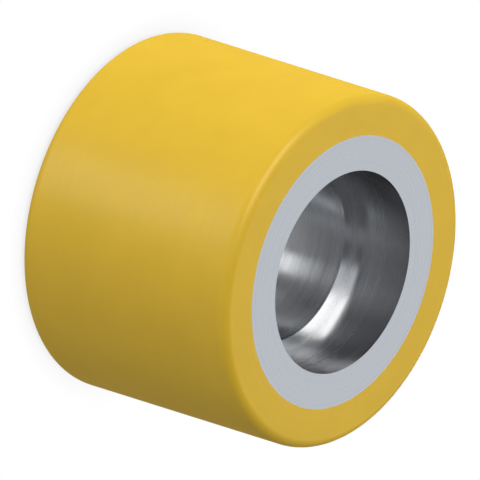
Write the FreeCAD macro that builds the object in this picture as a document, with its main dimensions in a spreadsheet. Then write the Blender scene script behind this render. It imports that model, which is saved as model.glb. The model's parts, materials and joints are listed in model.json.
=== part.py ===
import FreeCAD, Part
import os
import Sketcher

# Load roller of a pallet truck: a polyurethane tread cast on to a turned steel core.
# The core is bored from both ends for a pair of ball bearings, which stand against two shoulders.
# Z is the roller's axis, and the origin is the middle of the roller.

doc = FreeCAD.newDocument("pallet_truck_wheel")

# Driving sizes in millimetres, each with the name that the expressions use.
SIZES = (
    ("roller_width", 60, "from end face to end face, tread and core flush"),
    ("seat_diameter", 47, "bore of each bearing seat"),
    ("seat_depth", 16, "from an end face to the shoulder behind the bearing"),
    ("shoulder_height", 3.5, "step from a seat's bore in to the middle bore"),
    ("core_wall", 8.15, "steel between a seat's bore and the bonded face"),
    ("tread_thickness", 9.35, "polyurethane from the bonded face to the running face"),
    ("tread_edge_radius", 2.5, "rounding of the running face's two edges"),
)

sheet = doc.addObject("Spreadsheet::Sheet", "Sizes")
for row, (alias, value, meaning) in enumerate(SIZES, start=1):
    sheet.set(f"A{row}", alias)
    sheet.set(f"B{row}", str(value))
    sheet.setAlias(f"B{row}", alias)
    sheet.set(f"C{row}", meaning)
doc.recompute()

# Ends of a sketched line, and the sketch's own origin and axes, as the constraints number them.
START = 1
END = 2
ORIGIN = (-1, 1)
ACROSS = -1

TOLERANCE = 1e-4


def make_body(name):
    body = doc.addObject("PartDesign::Body", name)
    body.Label = name
    return body


def section_sketch(body, name):
    """Sketch of half a section: across is the radius, up is the roller's axis."""
    sketch = body.newObject("Sketcher::SketchObject", name)
    plane = next(p for p in body.Origin.OriginFeatures if p.Role == "XZ_Plane")
    sketch.AttachmentSupport = [(plane, "")]
    sketch.MapMode = "FlatFace"
    return sketch


def closed_outline(sketch, corners):
    """Draw straight lines from corner to corner and join their ends."""
    points = [FreeCAD.Vector(across, up, 0) for across, up in corners]
    count = len(points)
    for index in range(count):
        sketch.addGeometry(Part.LineSegment(points[index], points[(index + 1) % count]))
    for index in range(count):
        sketch.addConstraint(Sketcher.Constraint("Coincident", index, END, (index + 1) % count, START))


def drive(sketch, name, kind, first, second, value, expression):
    """Add a distance between two points and bind it to the sheet."""
    index = sketch.addConstraint(Sketcher.Constraint(kind, *first, *second, value))
    sketch.renameConstraint(index, name)
    sketch.setExpression(f"Constraints.{name}", expression)


def turn(body, sketch, name):
    """Turn the section once round the roller's axis."""
    feature = body.newObject("PartDesign::Revolution", name)
    feature.Profile = sketch
    feature.ReferenceAxis = (sketch, ["V_Axis"])
    feature.Angle = 360
    sketch.Visibility = False
    doc.recompute()
    return feature


def rims(feature, radius, height):
    """Names of the two round edges of this radius, at this height above and below the middle."""
    names = []
    for index, edge in enumerate(feature.Shape.Edges, start=1):
        curve = edge.Curve
        if not isinstance(curve, Part.Circle):
            continue
        same_radius = abs(curve.Radius - radius) < TOLERANCE
        same_height = abs(abs(curve.Center.z) - height) < TOLERANCE
        if same_radius and same_height:
            names.append(f"Edge{index}")
    if len(names) != 2:
        raise RuntimeError(f"{feature.Label}: {len(names)} rims of radius {radius} at height {height}")
    return names


def round_edges(body, name, base, edges, expression):
    """Round the named edges of the base feature."""
    feature = body.newObject("PartDesign::Fillet", name)
    feature.Base = (base, edges)
    feature.setExpression("Radius", expression)
    doc.recompute()
    return feature


half_width = sheet.roller_width / 2
seat_radius = sheet.seat_diameter / 2
shoulder_level = half_width - sheet.seat_depth
middle_bore_radius = seat_radius - sheet.shoulder_height
core_radius = seat_radius + sheet.core_wall
tread_radius = core_radius + sheet.tread_thickness


def build_core():
    """Turned tube, bored from each end to a shoulder, with the middle bore between the shoulders."""
    body = make_body("core")
    sketch = section_sketch(body, "core_section")
    closed_outline(
        sketch,
        [
            (core_radius, -half_width),
            (core_radius, half_width),
            (seat_radius, half_width),
            (seat_radius, shoulder_level),
            (middle_bore_radius, shoulder_level),
            (middle_bore_radius, -shoulder_level),
            (seat_radius, -shoulder_level),
            (seat_radius, -half_width),
        ],
    )
    bonded_face, upper_end, upper_seat, upper_shoulder = range(4)
    middle_bore, lower_shoulder, lower_seat, lower_end = range(4, 8)
    for line in (upper_end, upper_shoulder, lower_shoulder, lower_end):
        sketch.addConstraint(Sketcher.Constraint("Horizontal", line))
    for line in (upper_seat, lower_seat):
        sketch.addConstraint(Sketcher.Constraint("Vertical", line))
    for line in (bonded_face, middle_bore):
        sketch.addConstraint(Sketcher.Constraint("Symmetric", line, START, line, END, ACROSS))
    sketch.addConstraint(Sketcher.Constraint("Equal", upper_end, lower_end))
    drive(
        sketch, "width", "DistanceY", (bonded_face, START), (bonded_face, END),
        sheet.roller_width, "Sizes.roller_width",
    )
    drive(
        sketch, "seat_bore", "DistanceX", ORIGIN, (upper_seat, START),
        seat_radius, "Sizes.seat_diameter / 2",
    )
    drive(
        sketch, "seat_depth", "DistanceY", (upper_seat, END), (upper_seat, START),
        sheet.seat_depth, "Sizes.seat_depth",
    )
    drive(
        sketch, "shoulder", "DistanceX", (upper_shoulder, END), (upper_shoulder, START),
        sheet.shoulder_height, "Sizes.shoulder_height",
    )
    drive(
        sketch, "wall", "DistanceX", (upper_end, END), (upper_end, START),
        sheet.core_wall, "Sizes.core_wall",
    )
    turn(body, sketch, "core_turning")
    return body


def build_tread():
    """Ring cast round the core, as wide as the core, with rounded edges at the running face."""
    body = make_body("tread")
    sketch = section_sketch(body, "tread_section")
    closed_outline(
        sketch,
        [
            (tread_radius, -half_width),
            (tread_radius, half_width),
            (core_radius, half_width),
            (core_radius, -half_width),
        ],
    )
    running_face, upper_side, bonded_face, lower_side = range(4)
    for line in (upper_side, lower_side):
        sketch.addConstraint(Sketcher.Constraint("Horizontal", line))
    sketch.addConstraint(Sketcher.Constraint("Vertical", bonded_face))
    sketch.addConstraint(Sketcher.Constraint("Symmetric", running_face, START, running_face, END, ACROSS))
    drive(
        sketch, "width", "DistanceY", (running_face, START), (running_face, END),
        sheet.roller_width, "Sizes.roller_width",
    )
    drive(
        sketch, "bonded_radius", "DistanceX", ORIGIN, (bonded_face, START),
        core_radius, "Sizes.seat_diameter / 2 + Sizes.core_wall",
    )
    drive(
        sketch, "thickness", "DistanceX", (upper_side, END), (upper_side, START),
        sheet.tread_thickness, "Sizes.tread_thickness",
    )
    ring = turn(body, sketch, "tread_casting")
    edges = rims(ring, tread_radius, half_width)
    round_edges(body, "tread_edges", ring, edges, "Sizes.tread_edge_radius")
    return body


pieces = [build_core(), build_tread()]
doc.recompute()

for item in doc.Objects:
    if "Invalid" in item.State or "Error" in item.State:
        raise RuntimeError(f"{item.Label} failed: {item.State}")
for piece in pieces:
    if piece.Shape.isNull() or not piece.Shape.isValid() or len(piece.Shape.Solids) != 1:
        raise RuntimeError(f"{piece.Label} is not one valid solid")

os.makedirs("parts", exist_ok=True)
for piece in pieces:
    piece.Shape.exportStep(f"parts/{piece.Label}.step")
    print(f"{piece.Label}: {piece.Shape.Volume / 1000:.2f} cubic centimetres")
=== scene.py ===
import json
import math

import bpy
from bpy.props import FloatProperty, FloatVectorProperty, IntProperty, PointerProperty
from bpy.types import NodeSocket, Operator, Panel, PropertyGroup
from mathutils import Euler, Matrix, Vector


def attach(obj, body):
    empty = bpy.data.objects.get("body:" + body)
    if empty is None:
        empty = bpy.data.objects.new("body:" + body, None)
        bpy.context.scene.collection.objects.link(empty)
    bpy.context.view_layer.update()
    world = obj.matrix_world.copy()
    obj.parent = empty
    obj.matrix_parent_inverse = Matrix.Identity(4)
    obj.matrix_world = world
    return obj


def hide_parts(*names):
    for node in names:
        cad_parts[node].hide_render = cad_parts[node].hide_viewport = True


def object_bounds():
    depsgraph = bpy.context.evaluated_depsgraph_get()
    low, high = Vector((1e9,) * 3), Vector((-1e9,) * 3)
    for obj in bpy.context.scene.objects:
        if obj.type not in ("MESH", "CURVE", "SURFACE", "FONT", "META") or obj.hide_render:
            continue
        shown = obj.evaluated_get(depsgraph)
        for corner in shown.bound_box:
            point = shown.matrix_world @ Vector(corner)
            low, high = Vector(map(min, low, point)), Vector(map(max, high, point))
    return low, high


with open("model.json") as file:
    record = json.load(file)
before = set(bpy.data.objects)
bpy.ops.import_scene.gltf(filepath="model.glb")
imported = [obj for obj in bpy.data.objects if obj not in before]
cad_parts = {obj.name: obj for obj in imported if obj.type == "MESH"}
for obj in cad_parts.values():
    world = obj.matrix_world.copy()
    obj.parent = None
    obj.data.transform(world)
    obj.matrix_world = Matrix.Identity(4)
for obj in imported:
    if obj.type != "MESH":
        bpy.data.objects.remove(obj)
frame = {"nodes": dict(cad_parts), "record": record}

bl_info = {
    "name": "Pallet truck wheel",
    "version": (1, 0, 0),
    "blender": (4, 5, 0),
    "location": "3D View > Sidebar > Wheel",
    "description": "Load roller with a polyurethane tread on a bored steel core, and its studio",
    "category": "Add Mesh",
}

MM = 0.001
CAD_LOW, CAD_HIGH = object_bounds()

# Corners this near to a radius are on its cylinder.
SAME_RADIUS = 0.002 * MM
# Faces whose middles are this near to the end of the wheel belong to an end face.
END_FACE_DEPTH = 0.02 * MM
# Edges that turn by more than this stay crisp.
CREASE_ANGLE = math.radians(25)


# Sizes that the frame holds

def surface_points(node):
    """Radius and height of every corner of a CAD node's mesh."""
    points = [vertex.co for vertex in frame["nodes"][node].data.vertices]
    return [(math.hypot(point.x, point.y), point.z) for point in points]


def top_of_cylinder(node, radius):
    """Height at which the cylinder of this radius ends."""
    points = surface_points(node)
    return max(height for reach, height in points if abs(reach - radius) < SAME_RADIUS)


def mount_of(name):
    """The record's mount of this name."""
    return next(mount for mount in frame["record"]["mounts"] if mount["name"] == name)


SEAT = mount_of("bearing_seat_upper")
HALF_WIDTH = CAD_HIGH[2]
TREAD_RADIUS = max(reach for reach, height in surface_points("tread"))
CORE_RADIUS = max(reach for reach, height in surface_points("core"))
MIDDLE_BORE_RADIUS = min(reach for reach, height in surface_points("core"))
SEAT_RADIUS = SEAT["dims"]["r_mm"] * MM
SHOULDER_LEVEL = SEAT["pos_m"][2] - SEAT["dims"]["length_mm"] * MM / 2
TREAD_EDGE = HALF_WIDTH - top_of_cylinder("tread", TREAD_RADIUS)


# Settings that a user may change

def linear(code):
    """Linear colour from an sRGB hex code, by the sRGB curve."""
    channels = [int(code[place:place + 2], 16) / 255 for place in (1, 3, 5)]
    return tuple(c / 12.92 if c <= 0.04045 else ((c + 0.055) / 1.055) ** 2.4 for c in channels)


def length(name, description, default):
    """Property for a length."""
    return FloatProperty(
        name=name, description=description, default=default, min=0, unit="LENGTH", precision=5,
    )


def share(name, description, default):
    """Property for a number from 0 to 1."""
    return FloatProperty(
        name=name, description=description, default=default, min=0, max=1, subtype="FACTOR",
    )


def angle(name, description, degrees):
    """Property for an angle."""
    return FloatProperty(
        name=name, description=description, default=math.radians(degrees), subtype="ANGLE",
    )


def colour(name, description, code):
    """Property for a colour."""
    return FloatVectorProperty(
        name=name, description=description, default=linear(code),
        min=0, max=1, size=3, subtype="COLOR",
    )


class WheelSizes(PropertyGroup):
    """Sizes of the wheel's two pieces."""

    half_width: length("Half width", "From the middle of the wheel to an end face", HALF_WIDTH)
    tread_radius: length("Tread radius", "Running face", TREAD_RADIUS)
    tread_edge: length("Tread edge", "Rounding of the running face's two edges", TREAD_EDGE)
    core_radius: length("Core radius", "Face that the tread is bonded to", CORE_RADIUS)
    seat_radius: length("Seat radius", "Bore of each bearing seat", SEAT_RADIUS)
    shoulder_level: length("Shoulder level", "From the middle to a shoulder", SHOULDER_LEVEL)
    middle_bore_radius: length("Middle bore radius", "Between the shoulders", MIDDLE_BORE_RADIUS)
    segments: IntProperty(name="Segments", description="Steps round the wheel", default=256, min=32)
    edge_steps: IntProperty(name="Edge steps", description="Steps in a rounding", default=10, min=1)


class WheelFinish(PropertyGroup):
    """Colours and gloss of the wheel's two pieces."""

    tread_colour: colour("Tread colour", "Pigment of the polyurethane", "#CDA82D")
    tread_roughness: share("Tread roughness", "Roughness of the polyurethane", 0.45)
    tread_unevenness: share("Tread unevenness", "How far the tread's roughness strays", 0.1)
    tread_sheen: share("Tread sheen", "Strength of the polyurethane's sheen", 0.08)
    sheen_roughness: share("Sheen roughness", "Spread of the polyurethane's sheen", 0.36)
    cloud_size: length("Cloud size", "Width of the faint clouds in the polyurethane", 9 * MM)
    cloud_contrast: share("Cloud contrast", "How far the clouds stray from the pigment", 0.06)
    face_colour: colour("End face colour", "Bare steel of the end faces", "#AFB3BA")
    bore_colour: colour("Bore colour", "Bare steel of the shoulders and the bores", "#B2B4B7")
    # Painted shade: the seats' colour darkens towards the mouths, over the mouth reach.
    mouth_shade_colour: colour("Mouth colour", "Seats at the mouths, dulled by handling", "#A7A9AC")
    mouth_shade_reach: length("Mouth reach", "Depth at which the dulled steel has faded out", 14 * MM)
    bore_edge_tint: share("Bore edge tint", "What is left of the bores' grazing reflection", 0.72)
    steel_roughness: share("Steel roughness", "Roughness of the bare steel", 0.25)
    steel_unevenness: share("Steel unevenness", "How far the steel's roughness strays", 0.035)
    ring_contrast: share("Ring contrast", "How far the rings stray from the steel's colour", 0.025)
    tread_feed: length("Tread feed", "Spacing of the tool's rings on the tread", 1.4 * MM)
    face_feed: length("Face feed", "Spacing of the tool's rings on the end faces", 1.0 * MM)
    bore_feed: length("Bore feed", "Spacing of the tool's rings in the bores", 2.4 * MM)
    ring_depth: length("Ring depth", "Depth of the rings on the tread and end faces", 0.02 * MM)
    bore_ring_depth: length("Bore ring depth", "Depth of the boring bar's rings", 0.004 * MM)


class WheelStudio(PropertyGroup):
    """Camera, floor and room."""

    elevation: angle("Elevation", "Height of the camera over the horizon", 36.59)
    roll: angle("Roll", "Turn of the picture about the line of sight", 107.46)
    picture_width: length("Picture width", "Width that the picture shows", 107.56 * MM)
    floor_shade: share("Floor shade", "Level of the floor where the wheel hides all light", 0.75)
    shade_reach: length("Shade reach", "How far from the wheel the floor is shaded", 14 * MM)
    floor_fill: share("Floor fill", "Light that the pigment gets back from the floor", 0.58)
    room_fill: share("Room fill", "Light that the pigment gets from the room", 0.248)
    wall_level: share("Wall level", "Level of the room's white walls, as gloss mirrors them", 1.0)
    ceiling_level: share("Ceiling level", "Level of the room above the walls", 0.32)
    cellar_level: share("Cellar level", "Level of the room under the table", 0.25)


# Finishes

# Finer layers of noise in the tool's rings and in the polyurethane's clouds.
RING_DETAIL = 2.0
CLOUD_DETAIL = 3.0
# Noise seldom leaves this part of its range, so the part is spread from 0 to 1.
NOISE_LOW, NOISE_HIGH = 0.3, 0.7
# Index of polyurethane, and of the coat that gives it its sheen.
TREAD_INDEX = 1.5
SHEEN_INDEX = 3.0


def add_node(tree, kind, inputs=None, **settings):
    """Add a node with its settings, and with a value or another node's output for each input.

    An input is named or numbered. A Mix node's numbers are its inputs 2 and 3, and its colours
    are 6 and 7.
    """
    node = tree.nodes.new(kind)
    for key, value in settings.items():
        setattr(node, key, value)
    for key, value in (inputs or {}).items():
        if isinstance(value, NodeSocket):
            tree.links.new(value, node.inputs[key])
        else:
            node.inputs[key].default_value = value
    return node


def new_material(name):
    """Empty node material."""
    material = bpy.data.materials.new(name)
    material.use_nodes = True
    material.node_tree.nodes.clear()
    return material


def tool_rings(tree, feed):
    """Uneven rings of a lathe tool: up the axis on a wall, out along the radius on a face."""
    place = add_node(tree, "ShaderNodeTexCoord").outputs["Object"]
    height = add_node(tree, "ShaderNodeSeparateXYZ", {0: place}).outputs["Z"]
    flat = add_node(tree, "ShaderNodeVectorMath", {0: place, 1: (1, 1, 0)}, operation="MULTIPLY")
    radius = add_node(tree, "ShaderNodeVectorMath", {0: flat.outputs[0]}, operation="LENGTH")
    along = add_node(tree, "ShaderNodeMath", {
        0: radius.outputs["Value"], 1: height,
    }, operation="ADD")
    noise = add_node(tree, "ShaderNodeTexNoise", {
        "W": along.outputs[0], "Scale": 1 / feed, "Detail": RING_DETAIL,
    }, noise_dimensions="1D")
    rings = add_node(tree, "ShaderNodeMapRange", {
        "Value": noise.outputs[0], "From Min": NOISE_LOW, "From Max": NOISE_HIGH,
    })
    return rings.outputs[0]


def cast_polyurethane(finish):
    """Polyurethane elastomer, cast on the core and turned to size."""
    # The eye gets an even satin yellow, clouded a little where the mix was poured, with shallow
    # rings from the tool and a faint broad sheen. Real rings are 0.2 mm apart, and are drawn
    # coarser so that they show.
    material = new_material("polyurethane_cast_and_turned")
    tree = material.node_tree
    place = add_node(tree, "ShaderNodeTexCoord").outputs["Object"]
    clouds = add_node(tree, "ShaderNodeTexNoise", {
        "Vector": place, "Scale": 1 / finish.cloud_size, "Detail": CLOUD_DETAIL,
    })
    tint = add_node(tree, "ShaderNodeMapRange", {
        "Value": clouds.outputs[0],
        "To Min": 1 - finish.cloud_contrast,
        "To Max": 1 + finish.cloud_contrast,
    })
    pigment = add_node(tree, "ShaderNodeVectorMath", {
        0: finish.tread_colour, "Scale": tint.outputs[0],
    }, operation="SCALE")
    roughness = add_node(tree, "ShaderNodeMapRange", {
        "Value": clouds.outputs[0],
        "To Min": finish.tread_roughness - finish.tread_unevenness,
        "To Max": finish.tread_roughness + finish.tread_unevenness,
    })
    relief = add_node(tree, "ShaderNodeBump", {
        "Height": tool_rings(tree, finish.tread_feed), "Distance": finish.ring_depth,
    })
    # All gloss is in a thin coat of high index, because the tread's sheen hardly grows at grazing
    # angles. The roughness below the coat is for viewers that draw no coat.
    shader = add_node(tree, "ShaderNodeBsdfPrincipled", {
        "Base Color": pigment.outputs[0],
        "Roughness": roughness.outputs[0],
        "IOR": TREAD_INDEX,
        "Specular IOR Level": 0,
        "Normal": relief.outputs[0],
        "Coat Weight": finish.tread_sheen,
        "Coat Roughness": finish.sheen_roughness,
        "Coat IOR": SHEEN_INDEX,
        "Coat Normal": relief.outputs[0],
    })
    add_node(tree, "ShaderNodeOutputMaterial", {"Surface": shader.outputs["BSDF"]})
    return material


def turned_steel(tree, finish, base, feed, depth, edge_tint):
    """Bare steel off the lathe. Its base is one colour, or an output that gives a colour."""
    rings = tool_rings(tree, feed)
    tint = add_node(tree, "ShaderNodeMapRange", {
        "Value": rings,
        "To Min": 1 - finish.ring_contrast,
        "To Max": 1 + finish.ring_contrast,
    })
    steel = add_node(tree, "ShaderNodeVectorMath", {
        0: base, "Scale": tint.outputs[0],
    }, operation="SCALE")
    roughness = add_node(tree, "ShaderNodeMapRange", {
        "Value": rings,
        "To Min": finish.steel_roughness - finish.steel_unevenness,
        "To Max": finish.steel_roughness + finish.steel_unevenness,
    })
    relief = add_node(tree, "ShaderNodeBump", {"Height": rings, "Distance": depth})
    shader = add_node(tree, "ShaderNodeBsdfPrincipled", {
        "Base Color": steel.outputs[0],
        "Metallic": 1,
        "Specular Tint": (edge_tint, edge_tint, edge_tint, 1),
        "Roughness": roughness.outputs[0],
        "Normal": relief.outputs[0],
    })
    add_node(tree, "ShaderNodeOutputMaterial", {"Surface": shader.outputs["BSDF"]})


def faced_steel(finish):
    """Bare carbon steel, faced on a lathe."""
    # The eye gets a pale blue-grey satin face with fine uneven rings round the bore, each a little
    # brighter or duller than the next. Real rings are 0.1 mm apart, and are drawn coarser so that
    # they show.
    material = new_material("steel_faced")
    turned_steel(
        material.node_tree, finish, finish.face_colour, finish.face_feed, finish.ring_depth, 1,
    )
    return material


def bored_steel(finish):
    """Bare carbon steel, bored on a lathe."""
    # The eye gets a dark bright-turned wall that mirrors its surroundings in soft streaks, dark
    # where it is seen edge on, and darker towards the mouths, which is painted shade. The boring
    # bar's rings are 0.1 mm apart, and are drawn coarser so that they show.
    material = new_material("steel_bored")
    tree = material.node_tree
    place = add_node(tree, "ShaderNodeTexCoord").outputs["Object"]
    height = add_node(tree, "ShaderNodeSeparateXYZ", {0: place}).outputs["Z"]
    away = add_node(tree, "ShaderNodeMath", {0: height}, operation="ABSOLUTE")
    # Painted shade: the seats' colour darkens smoothly over the last stretch to each mouth.
    mouth = add_node(tree, "ShaderNodeMapRange", {
        "Value": away.outputs[0],
        "From Min": HALF_WIDTH - finish.mouth_shade_reach,
        "From Max": HALF_WIDTH,
    }, interpolation_type="SMOOTHSTEP")
    shade = add_node(tree, "ShaderNodeMix", {
        0: mouth.outputs[0], 6: (*finish.bore_colour, 1), 7: (*finish.mouth_shade_colour, 1),
    }, data_type="RGBA")
    turned_steel(
        tree, finish, shade.outputs[2], finish.bore_feed, finish.bore_ring_depth,
        finish.bore_edge_tint,
    )
    return material


# Pieces

TREAD_PIECE = "polyurethane_tread"
CORE_PIECE = "steel_core"


def ring_tree(name, sizes, corners, edge_steps, material, end_material):
    """Tree that draws a section from corner to corner and sweeps it once round the wheel's axis.

    Each corner is the name of its radius, the name of its height, the side of the wheel that it is
    on, and the name of its rounding, if it has one.
    """
    tree = bpy.data.node_groups.new(name, "GeometryNodeTree")
    tree.interface.new_socket("Geometry", in_out="OUTPUT", socket_type="NodeSocketGeometry")
    for key in sizes:
        tree.interface.new_socket(key, in_out="INPUT", socket_type="NodeSocketFloat")
    tree.interface.new_socket("segments", in_out="INPUT", socket_type="NodeSocketInt")
    given = add_node(tree, "NodeGroupInput").outputs

    places = add_node(tree, "GeometryNodeIndexSwitch", data_type="VECTOR")
    cuts = add_node(tree, "GeometryNodeIndexSwitch", data_type="FLOAT")
    index = add_node(tree, "GeometryNodeInputIndex").outputs["Index"]
    for switch in (places, cuts):
        tree.links.new(index, switch.inputs["Index"])
        while len(switch.index_switch_items) < len(corners):
            switch.index_switch_items.new()
    for number, (radius, height, side, cut) in enumerate(corners):
        down = add_node(tree, "ShaderNodeMath", {0: given[height], 1: -side}, operation="MULTIPLY")
        place = add_node(tree, "ShaderNodeCombineXYZ", {"X": given[radius], "Y": down.outputs[0]})
        tree.links.new(place.outputs[0], places.inputs[number + 1])
        if cut:
            tree.links.new(given[cut], cuts.inputs[number + 1])

    # The section is swept along a circle of the core's radius, so it is drawn about that radius.
    inward = add_node(tree, "ShaderNodeMath", {
        0: given["core_radius"], 1: -1,
    }, operation="MULTIPLY")
    offset = add_node(tree, "ShaderNodeCombineXYZ", {"X": inward.outputs[0]})
    chain = add_node(tree, "GeometryNodeMeshLine", {"Count": len(corners)})
    section = add_node(tree, "GeometryNodeSetPosition", {
        "Geometry": chain.outputs[0], "Position": places.outputs[0], "Offset": offset.outputs[0],
    })
    curve = add_node(tree, "GeometryNodeMeshToCurve", {"Mesh": section.outputs[0]})
    closed = add_node(tree, "GeometryNodeSetSplineCyclic", {
        "Geometry": curve.outputs[0], "Cyclic": True,
    })
    outline = closed.outputs[0]
    if any(cut for radius, height, side, cut in corners):
        rounded = add_node(tree, "GeometryNodeFilletCurve", {
            "Curve": outline, "Count": edge_steps, "Radius": cuts.outputs[0],
        }, mode="POLY")
        outline = rounded.outputs[0]
    circle = add_node(tree, "GeometryNodeCurvePrimitiveCircle", {
        "Resolution": given["segments"], "Radius": given["core_radius"],
    })
    ring = add_node(tree, "GeometryNodeCurveToMesh", {
        "Curve": circle.outputs[0], "Profile Curve": outline,
    })

    turn = add_node(tree, "GeometryNodeInputMeshEdgeAngle")
    crisp = add_node(tree, "ShaderNodeMath", {
        0: turn.outputs["Unsigned Angle"], 1: CREASE_ANGLE,
    }, operation="GREATER_THAN")
    smooth = add_node(tree, "GeometryNodeSetShadeSmooth", {
        "Geometry": ring.outputs[0], "Shade Smooth": True,
    }, domain="FACE")
    creased = add_node(tree, "GeometryNodeSetShadeSmooth", {
        "Geometry": smooth.outputs[0], "Selection": crisp.outputs[0], "Shade Smooth": False,
    }, domain="EDGE")

    where = add_node(tree, "GeometryNodeInputPosition")
    height = add_node(tree, "ShaderNodeSeparateXYZ", {0: where.outputs[0]})
    away = add_node(tree, "ShaderNodeMath", {0: height.outputs["Z"]}, operation="ABSOLUTE")
    rim = add_node(tree, "ShaderNodeMath", {
        0: given["half_width"], 1: END_FACE_DEPTH,
    }, operation="SUBTRACT")
    on_end = add_node(tree, "ShaderNodeMath", {
        0: away.outputs[0], 1: rim.outputs[0],
    }, operation="GREATER_THAN")
    real = add_node(tree, "GeometryNodeRealizeInstances", {"Geometry": creased.outputs[0]})
    body = add_node(tree, "GeometryNodeSetMaterial", {
        "Geometry": real.outputs[0], "Material": material,
    })
    ends = add_node(tree, "GeometryNodeSetMaterial", {
        "Geometry": body.outputs[0], "Selection": on_end.outputs[0], "Material": end_material,
    })
    add_node(tree, "NodeGroupOutput", {"Geometry": ends.outputs[0]})
    return tree


def make_ring(name, tree, sizes, node):
    """Evaluate a ring's tree with its sizes, and keep a plain mesh that stands for a CAD node."""
    source = bpy.data.objects.new(name + "_source", bpy.data.meshes.new(name + "_source"))
    bpy.context.scene.collection.objects.link(source)
    modifier = source.modifiers.new("section", "NODES")
    modifier.node_group = tree
    for item in tree.interface.items_tree:
        if item.in_out == "INPUT":
            modifier[item.identifier] = getattr(sizes, item.name)
    graph = bpy.context.evaluated_depsgraph_get()
    mesh = bpy.data.meshes.new_from_object(source.evaluated_get(graph))
    bpy.data.objects.remove(source)
    if not mesh.polygons:
        raise RuntimeError(f"{name}: the section gave no surface")
    mesh.name = name
    piece = bpy.data.objects.new(name, mesh)
    bpy.context.scene.collection.objects.link(piece)
    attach(piece, "root")
    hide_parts(node)


class WHEEL_OT_add_tread(Operator):
    """Cast the polyurethane tread round the core"""

    bl_idname = "wheel.add_tread"
    bl_label = "Add tread"

    def execute(self, context):
        sizes = context.scene.wheel_sizes
        material = cast_polyurethane(context.scene.wheel_finish)
        tree = ring_tree(
            "tread_section", ("half_width", "tread_radius", "core_radius", "tread_edge"),
            (
                ("tread_radius", "half_width", 1, "tread_edge"),
                ("tread_radius", "half_width", -1, "tread_edge"),
                ("core_radius", "half_width", -1, None),
                ("core_radius", "half_width", 1, None),
            ),
            sizes.edge_steps, material, material,
        )
        make_ring(TREAD_PIECE, tree, sizes, "tread")
        return {"FINISHED"}


class WHEEL_OT_add_core(Operator):
    """Turn and bore the steel core"""

    bl_idname = "wheel.add_core"
    bl_label = "Add core"

    def execute(self, context):
        sizes = context.scene.wheel_sizes
        finish = context.scene.wheel_finish
        bored = bored_steel(finish)
        faced = faced_steel(finish)
        tree = ring_tree(
            "core_section",
            ("half_width", "core_radius", "seat_radius", "shoulder_level", "middle_bore_radius"),
            (
                ("core_radius", "half_width", 1, None),
                ("core_radius", "half_width", -1, None),
                ("seat_radius", "half_width", -1, None),
                ("seat_radius", "shoulder_level", -1, None),
                ("middle_bore_radius", "shoulder_level", -1, None),
                ("middle_bore_radius", "shoulder_level", 1, None),
                ("seat_radius", "shoulder_level", 1, None),
                ("seat_radius", "half_width", 1, None),
            ),
            sizes.edge_steps, bored, faced,
        )
        make_ring(CORE_PIECE, tree, sizes, "core")
        return {"FINISHED"}


# Studio

# Each row of these tables is a softbox: its name, its azimuth from the camera's side round to the
# key's side and its height over the horizon, the width and height that it seems to have from the
# wheel, all in degrees, the brightness of its face, and its tint if it is not white.

# What the steel and the tread's gloss mirror. The key is a warm white. These leave the pigment's
# light to the next table.
GLOSS_SOFTBOXES = (
    ("key_softbox", 53.5, 44, (46, 30), 6.2, "#FFFBF3"),
    ("front_softbox", 5.5, 37, (23, 18), 2.5),
    ("back_softbox", 152, 37, (72, 44), 0.8),
    ("left_softbox", -45, 37, (12, 26), 0.55),
)

# What lights the pigment.
FILL_SOFTBOXES = (
    ("key_fill_softbox", 34.6, 42.6, (50, 24), 4.85),
    ("front_low_softbox", 10, -10, (40, 24), 1.9),
    ("side_low_softbox", 67, -6.5, (40, 24), 3.8),
    ("rim_low_softbox", 120.4, -34, (40, 30), 4.55),
    ("back_low_softbox", -173, -33, (50, 24), 2.35),
    ("top_softbox", 164.7, 51.6, (50, 30), 3.45),
)

# What one piece alone mirrors, which is named last: a streak of sheen along the tread, a bloom on
# its side face, and the reflections in the bore. Those from under the table shine up as steeply as
# the camera looks down.
PIECE_SOFTBOXES = (
    ("sheen_softbox", 8, -36.6, (22, 14), 6.4, TREAD_PIECE),
    ("bloom_softbox", 180, 36.6, (60, 44), 0.72, TREAD_PIECE),
    ("bore_softbox", 10, -36.6, (20, 44), 2.25, CORE_PIECE),
    ("bore_left_softbox", -38, -36.6, (40, 44), 0.38, CORE_PIECE),
    ("bore_right_softbox", 68, -36.6, (26, 44), 0.85, CORE_PIECE),
    ("bore_back_left_softbox", -135, -36.6, (60, 44), 0.36, CORE_PIECE),
    ("bore_back_right_softbox", 130, -36.6, (60, 44), 0.34, CORE_PIECE),
    ("bore_mouth_softbox", 117.5, 46, (14, 20), 1.7, CORE_PIECE),
)

# Distances in metres, the last being how far the camera sees.
SOFTBOX_DISTANCE = 1.0
CAMERA_DISTANCE = 0.6
CAMERA_SIGHT = 10.0

FLOOR_RADIUS = 3.0
FLOOR_STEPS = 64
# The floor lies this far under the wheel, so that the two never share a plane.
FLOOR_GAP = 0.05 * MM
# Share of open sky from which the floor is as white as its paper, and the rays that find it.
OPEN_SKY = 0.7
SKY_RAYS = 16

WHITE = (1, 1, 1, 1)
# Sines of the heights at which the walls start and end, from the table up.
CELLAR_TOP, WALL_FOOT, WALL_TOP, CEILING_FOOT = -0.1, -0.03, 0.28, 0.45


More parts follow.
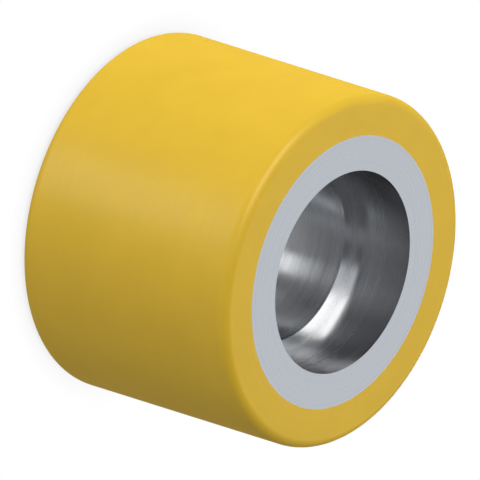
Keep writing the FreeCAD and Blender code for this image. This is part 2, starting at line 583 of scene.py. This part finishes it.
def add_softbox(name, azimuth, elevation, spread, brightness, tint="#FFFFFF"):
    """Softbox that faces the wheel, unseen by the camera, from a row of the tables."""
    turn = math.radians(azimuth)
    rise = math.radians(elevation)
    away = Vector((
        -math.sin(turn) * math.cos(rise), -math.cos(turn) * math.cos(rise), math.sin(rise),
    ))
    lamp = bpy.data.lights.new(name, "AREA")
    lamp.color = linear(tint)
    lamp.shape = "RECTANGLE"
    lamp.size, lamp.size_y = (
        2 * SOFTBOX_DISTANCE * math.tan(math.radians(degrees) / 2) for degrees in spread
    )
    lamp.energy = brightness * math.pi * lamp.size * lamp.size_y
    holder = bpy.data.objects.new(name, lamp)
    holder.location = away * SOFTBOX_DISTANCE
    holder.rotation_euler = away.to_track_quat("Z", "Y").to_euler()
    holder.visible_camera = False
    bpy.context.scene.collection.objects.link(holder)
    return holder


def hang_softboxes():
    """Hang every softbox of the three tables."""
    for row in GLOSS_SOFTBOXES:
        add_softbox(*row).visible_diffuse = False
    for row in FILL_SOFTBOXES:
        holder = add_softbox(*row)
        holder.visible_glossy = False
        # Rays from the wheel stop at the floor, so these are sampled from the lamp's side alone.
        holder.data.cycles.use_multiple_importance_sampling = False
    for *row, piece in PIECE_SOFTBOXES:
        holder = add_softbox(*row)
        holder.visible_diffuse = False
        # Rays from the core leave by the open bore, and those from the tread stop at the floor.
        holder.data.cycles.use_multiple_importance_sampling = piece == CORE_PIECE
        lit = bpy.data.collections.new(holder.name + "_lights")
        lit.objects.link(bpy.data.objects[piece])
        holder.light_linking.receiver_collection = lit


def white_paper(studio):
    """Glowing paper, white to the camera and gloss but for the wheel's shade painted on it."""
    material = new_material("paper_white")
    material.cycles.emission_sampling = "NONE"
    tree = material.node_tree
    # Painted shadow: the glow dims where the wheel hides the sky, down to the floor shade.
    sky = add_node(tree, "ShaderNodeAmbientOcclusion", {
        "Distance": studio.shade_reach,
    }, samples=SKY_RAYS)
    shade = add_node(tree, "ShaderNodeMapRange", {
        "Value": sky.outputs["AO"], "From Max": OPEN_SKY, "To Min": studio.floor_shade,
    })
    path = add_node(tree, "ShaderNodeLightPath")
    gloss = add_node(tree, "ShaderNodeMath", {
        0: path.outputs["Is Glossy Ray"], 1: path.outputs["Is Transmission Ray"],
    }, operation="MAXIMUM")
    seen = add_node(tree, "ShaderNodeMath", {
        0: path.outputs["Is Camera Ray"], 1: gloss.outputs[0],
    }, operation="MAXIMUM")
    level = add_node(tree, "ShaderNodeMix", {
        0: seen.outputs[0], 2: studio.floor_fill, 3: shade.outputs[0],
    })
    glow = add_node(tree, "ShaderNodeEmission", {"Color": WHITE, "Strength": level.outputs[0]})
    add_node(tree, "ShaderNodeOutputMaterial", {"Surface": glow.outputs[0]})
    return material


def lay_floor(studio):
    """Lay a round floor, open under the bore. The core's end face hides the opening's edge."""
    turns = [math.tau * step / FLOOR_STEPS for step in range(FLOOR_STEPS)]
    rims = ((SEAT_RADIUS + CORE_RADIUS) / 2, FLOOR_RADIUS)
    level = CAD_LOW[2] - FLOOR_GAP
    corners = [
        (rim * math.cos(turn), rim * math.sin(turn), level) for rim in rims for turn in turns
    ]
    faces = []
    for step in range(FLOOR_STEPS):
        following = (step + 1) % FLOOR_STEPS
        faces.append((step, FLOOR_STEPS + step, FLOOR_STEPS + following, following))
    mesh = bpy.data.meshes.new("floor")
    mesh.from_pydata(corners, [], faces)
    mesh.materials.append(white_paper(studio))
    floor = bpy.data.objects.new("floor", mesh)
    # The softboxes under the table shine through it.
    floor.visible_shadow = False
    bpy.context.scene.collection.objects.link(floor)


def white_room(studio):
    """Room that the camera sees as white, with walls and a dimmer ceiling that gloss mirrors."""
    world = bpy.data.worlds.new("studio")
    world.use_nodes = True
    world.cycles.sampling_method = "NONE"
    tree = world.node_tree
    tree.nodes.clear()
    sight = add_node(tree, "ShaderNodeTexCoord").outputs["Generated"]
    rise = add_node(tree, "ShaderNodeSeparateXYZ", {0: sight}).outputs["Z"]
    lower = add_node(tree, "ShaderNodeMapRange", {
        "Value": rise, "From Min": CELLAR_TOP, "From Max": WALL_FOOT,
        "To Min": studio.cellar_level, "To Max": studio.wall_level,
    })
    upper = add_node(tree, "ShaderNodeMapRange", {
        "Value": rise, "From Min": WALL_TOP, "From Max": CEILING_FOOT,
        "To Min": studio.wall_level, "To Max": studio.ceiling_level,
    })
    walls = add_node(tree, "ShaderNodeMath", {
        0: lower.outputs[0], 1: upper.outputs[0],
    }, operation="MINIMUM")
    path = add_node(tree, "ShaderNodeLightPath")
    lit = add_node(tree, "ShaderNodeMix", {
        0: path.outputs["Is Diffuse Ray"], 2: walls.outputs[0], 3: studio.room_fill,
    })
    # For the camera the room's strength is 1, which is white.
    level = add_node(tree, "ShaderNodeMix", {
        0: path.outputs["Is Camera Ray"], 2: lit.outputs[0], 3: 1,
    })
    room = add_node(tree, "ShaderNodeBackground", {"Color": WHITE, "Strength": level.outputs[0]})
    add_node(tree, "ShaderNodeOutputWorld", {"Surface": room.outputs[0]})
    return world


def add_camera(studio):
    """Camera without perspective, turned so that the wheel's axis lies across the picture."""
    camera = bpy.data.cameras.new("camera")
    camera.type = "ORTHO"
    camera.ortho_scale = studio.picture_width
    camera.clip_end = CAMERA_SIGHT
    holder = bpy.data.objects.new("camera", camera)
    tilt = Euler((math.pi / 2 - studio.elevation, 0, 0)).to_matrix()
    turn = tilt @ Matrix.Rotation(studio.roll, 3, "Z")
    holder.matrix_world = Matrix.Translation(tilt.col[2] * CAMERA_DISTANCE) @ turn.to_4x4()
    bpy.context.scene.collection.objects.link(holder)
    return holder


class WHEEL_OT_add_stage(Operator):
    """Lay the floor, hang the softboxes and set the camera"""

    bl_idname = "wheel.add_stage"
    bl_label = "Add stage"

    def execute(self, context):
        scene = context.scene
        studio = scene.wheel_studio
        lay_floor(studio)
        hang_softboxes()
        scene.world = white_room(studio)
        scene.camera = add_camera(studio)
        scene.view_settings.view_transform = "Standard"
        return {"FINISHED"}


class WHEEL_PT_sidebar(Panel):
    """Lists the wheel's settings and operators"""

    bl_idname = "WHEEL_PT_sidebar"
    bl_label = "Pallet truck wheel"
    bl_space_type = "VIEW_3D"
    bl_region_type = "UI"
    bl_category = "Wheel"

    def draw(self, context):
        for name, kind in GROUPS:
            box = self.layout.box()
            for key in kind.__annotations__:
                box.prop(getattr(context.scene, name), key)
        for operator in OPERATORS:
            self.layout.operator(operator.bl_idname)


GROUPS = (
    ("wheel_sizes", WheelSizes), ("wheel_finish", WheelFinish), ("wheel_studio", WheelStudio),
)
OPERATORS = (WHEEL_OT_add_tread, WHEEL_OT_add_core, WHEEL_OT_add_stage)


def register():
    """Give each scene the settings, and add the operators and the panel."""
    for name, kind in GROUPS:
        bpy.utils.register_class(kind)
        setattr(bpy.types.Scene, name, PointerProperty(type=kind))
    for operator in OPERATORS:
        bpy.utils.register_class(operator)
    bpy.utils.register_class(WHEEL_PT_sidebar)


def unregister():
    """Take away what register added, in the opposite order."""
    bpy.utils.unregister_class(WHEEL_PT_sidebar)
    for operator in reversed(OPERATORS):
        bpy.utils.unregister_class(operator)
    for name, kind in reversed(GROUPS):
        delattr(bpy.types.Scene, name)
        bpy.utils.unregister_class(kind)


def main():
    """Make the wheel and its stage."""
    register()
    bpy.ops.wheel.add_tread()
    bpy.ops.wheel.add_core()
    bpy.ops.wheel.add_stage()


if __name__ == "__main__":
    main()
